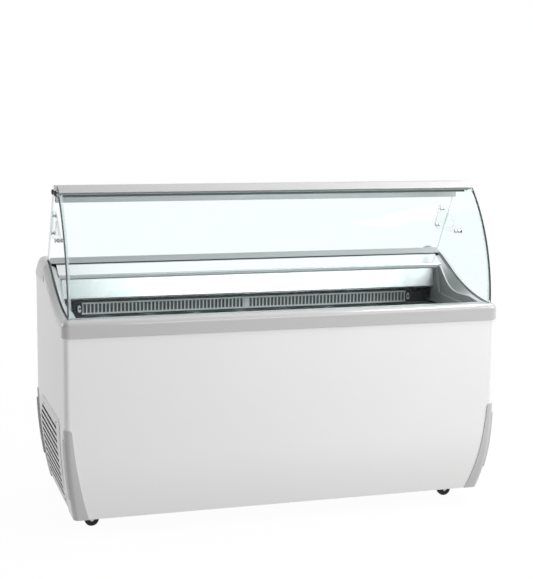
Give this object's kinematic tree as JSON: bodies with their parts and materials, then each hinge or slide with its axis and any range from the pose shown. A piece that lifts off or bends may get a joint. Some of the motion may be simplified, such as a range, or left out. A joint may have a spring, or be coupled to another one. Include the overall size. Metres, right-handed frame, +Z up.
{
  "type": "ice cream dipping cabinet",
  "caption": "Refrigerated dipping cabinet on castors with a curved tilting front glass, an open serving back and a cold well for ice cream pans.",
  "frame": {"origin": "centre of the footprint, on the floor", "axes": "+X along the front to the right seen by the customer, +Y towards the server at the back, +Z up"},
  "size_m": [1.5556, 0.676, 1.1642],
  "materials": {
    "white_panel": "smooth low-gloss coat",
    "white_moulding": "smooth satin",
    "grey_moulding": "smooth satin",
    "vent_plastic": "fine satin",
    "liner_moulding": "smooth satin",
    "brushed_steel": "brushed lengthways",
    "outlet_steel": "satin",
    "galvanised_steel": "spangled",
    "anodised_aluminium": "satin anodised",
    "fin_aluminium": "mill finish",
    "bright_zinc": "bright plated",
    "copper": "drawn tube",
    "clear_glass": "polished, faint cyan tint",
    "clear_acrylic": "polished",
    "light_diffuser": "translucent white",
    "foam": "cellular",
    "black_rubber": "matt",
    "black_plastic": "matt",
    "black_enamel": "semi-gloss",
    "control_plastic": "fine texture",
    "key_plastic": "matt"
  },
  "bodies": {
    "cabinet": {"front_panel": "white_panel", "rear_panel": "white_panel", "side_panel_left": "white_panel", "side_panel_right": "white_panel", "end_cap_left": "white_moulding", "end_cap_right": "white_moulding", "front_rim": "grey_moulding", "side_rim_left": "grey_moulding", "side_rim_right": "grey_moulding", "corner_guards_front": "grey_moulding", "corner_guards_rear": "grey_moulding", "side_vent_grille": "vent_plastic", "vent_screws": "bright_zinc", "base_tray": "galvanised_steel", "insulation_foam": "foam", "tub_liner": "brushed_steel", "drain_plug": "black_rubber", "inner_back_wall": "brushed_steel", "rear_worktop": "brushed_steel", "side_liner_left": "liner_moulding", "side_liner_right": "liner_moulding", "air_outlet_grilles": "outlet_steel", "air_outlet_ends": "outlet_steel", "pan_frame": "brushed_steel", "evaporator_coil": "fin_aluminium", "evaporator_fan_mounts": "galvanised_steel", "side_glass_left": "clear_glass", "side_glass_right": "clear_glass", "side_glass_seals": "black_rubber", "hinge_pins": "bright_zinc", "shelf_brackets": "clear_acrylic", "glass_bolts": "bright_zinc", "canopy_cover": "anodised_aluminium", "canopy_end_blocks": "anodised_aluminium", "light_housing": "anodised_aluminium", "light_diffuser": "light_diffuser", "rear_top_rail": "anodised_aluminium", "rear_bottom_rail": "anodised_aluminium", "compressor": "black_enamel", "condenser_coil": "black_enamel", "condenser_fan_mount": "galvanised_steel", "refrigerant_pipes": "copper", "control_panel": "control_plastic", "castor_plates": "bright_zinc"},
    "glass_front": {"front_glass": "clear_glass", "glass_top_profile": "anodised_aluminium"},
    "fan_condenser": {"condenser_fan": "black_plastic"},
    "fan_evaporator_left": {"evaporator_fan_left": "black_plastic"},
    "fan_evaporator_right": {"evaporator_fan_right": "black_plastic"},
    "key_down": {"thermostat_key_down": "key_plastic"},
    "key_up": {"thermostat_key_up": "key_plastic"},
    "switch_light": {"light_switch": "black_plastic"},
    "castor_front_left": {"castor_fork_front_left": "bright_zinc"},
    "wheel_front_left": {"castor_wheel_front_left": "black_rubber"},
    "castor_front_right": {"castor_fork_front_right": "bright_zinc"},
    "wheel_front_right": {"castor_wheel_front_right": "black_rubber"},
    "castor_rear_left": {"castor_fork_rear_left": "bright_zinc"},
    "wheel_rear_left": {"castor_wheel_rear_left": "black_rubber"},
    "castor_rear_right": {"castor_fork_rear_right": "bright_zinc"},
    "wheel_rear_right": {"castor_wheel_rear_right": "black_rubber"}
  },
  "joints": [
    {"name": "front_glass_tilt", "type": "hinge", "parent": "cabinet", "child": "glass_front", "pos_m": [0, -0.104, 1.1555], "axis": [-1, 0, 0], "range_deg": [0, 65]},
    {"name": "condenser_fan_spin", "type": "hinge", "parent": "cabinet", "child": "fan_condenser", "pos_m": [-0.618, 0.03, 0.212], "axis": [1, 0, 0], "continuous": true},
    {"name": "evaporator_fan_left_spin", "type": "hinge", "parent": "cabinet", "child": "fan_evaporator_left", "pos_m": [-0.452, 0.216, 0.625], "axis": [1, 0, 0], "continuous": true},
    {"name": "evaporator_fan_right_spin", "type": "hinge", "parent": "cabinet", "child": "fan_evaporator_right", "pos_m": [0.452, 0.216, 0.625], "axis": [1, 0, 0], "continuous": true},
    {"name": "key_down_press", "type": "slide", "parent": "cabinet", "child": "key_down", "axis": [0, -1, 0], "range_m": [0, 0.0015], "stiffness_N_per_m": 400},
    {"name": "key_up_press", "type": "slide", "parent": "cabinet", "child": "key_up", "axis": [0, -1, 0], "range_m": [0, 0.0015], "stiffness_N_per_m": 400},
    {"name": "light_switch_rock", "type": "hinge", "parent": "cabinet", "child": "switch_light", "pos_m": [-0.495, 0.331, 0.372], "axis": [1, 0, 0], "range_deg": [0, 16]},
    {"name": "castor_swivel_front_left", "type": "hinge", "parent": "cabinet", "child": "castor_front_left", "pos_m": [-0.64, -0.176, 0.055], "axis": [0, 0, 1], "continuous": true},
    {"name": "wheel_roll_front_left", "type": "hinge", "parent": "castor_front_left", "child": "wheel_front_left", "pos_m": [-0.66, -0.176, 0.025], "axis": [0, 1, 0], "continuous": true},
    {"name": "castor_swivel_front_right", "type": "hinge", "parent": "cabinet", "child": "castor_front_right", "pos_m": [0.64, -0.176, 0.055], "axis": [0, 0, 1], "continuous": true},
    {"name": "wheel_roll_front_right", "type": "hinge", "parent": "castor_front_right", "child": "wheel_front_right", "pos_m": [0.66, -0.176, 0.025], "axis": [0, 1, 0], "continuous": true},
    {"name": "castor_swivel_rear_left", "type": "hinge", "parent": "cabinet", "child": "castor_rear_left", "pos_m": [-0.64, 0.176, 0.055], "axis": [0, 0, 1], "continuous": true},
    {"name": "wheel_roll_rear_left", "type": "hinge", "parent": "castor_rear_left", "child": "wheel_rear_left", "pos_m": [-0.66, 0.176, 0.025], "axis": [0, 1, 0], "continuous": true},
    {"name": "castor_swivel_rear_right", "type": "hinge", "parent": "cabinet", "child": "castor_rear_right", "pos_m": [0.64, 0.176, 0.055], "axis": [0, 0, 1], "continuous": true},
    {"name": "wheel_roll_rear_right", "type": "hinge", "parent": "castor_rear_right", "child": "wheel_rear_right", "pos_m": [0.66, 0.176, 0.025], "axis": [0, 1, 0], "continuous": true}
  ]
}
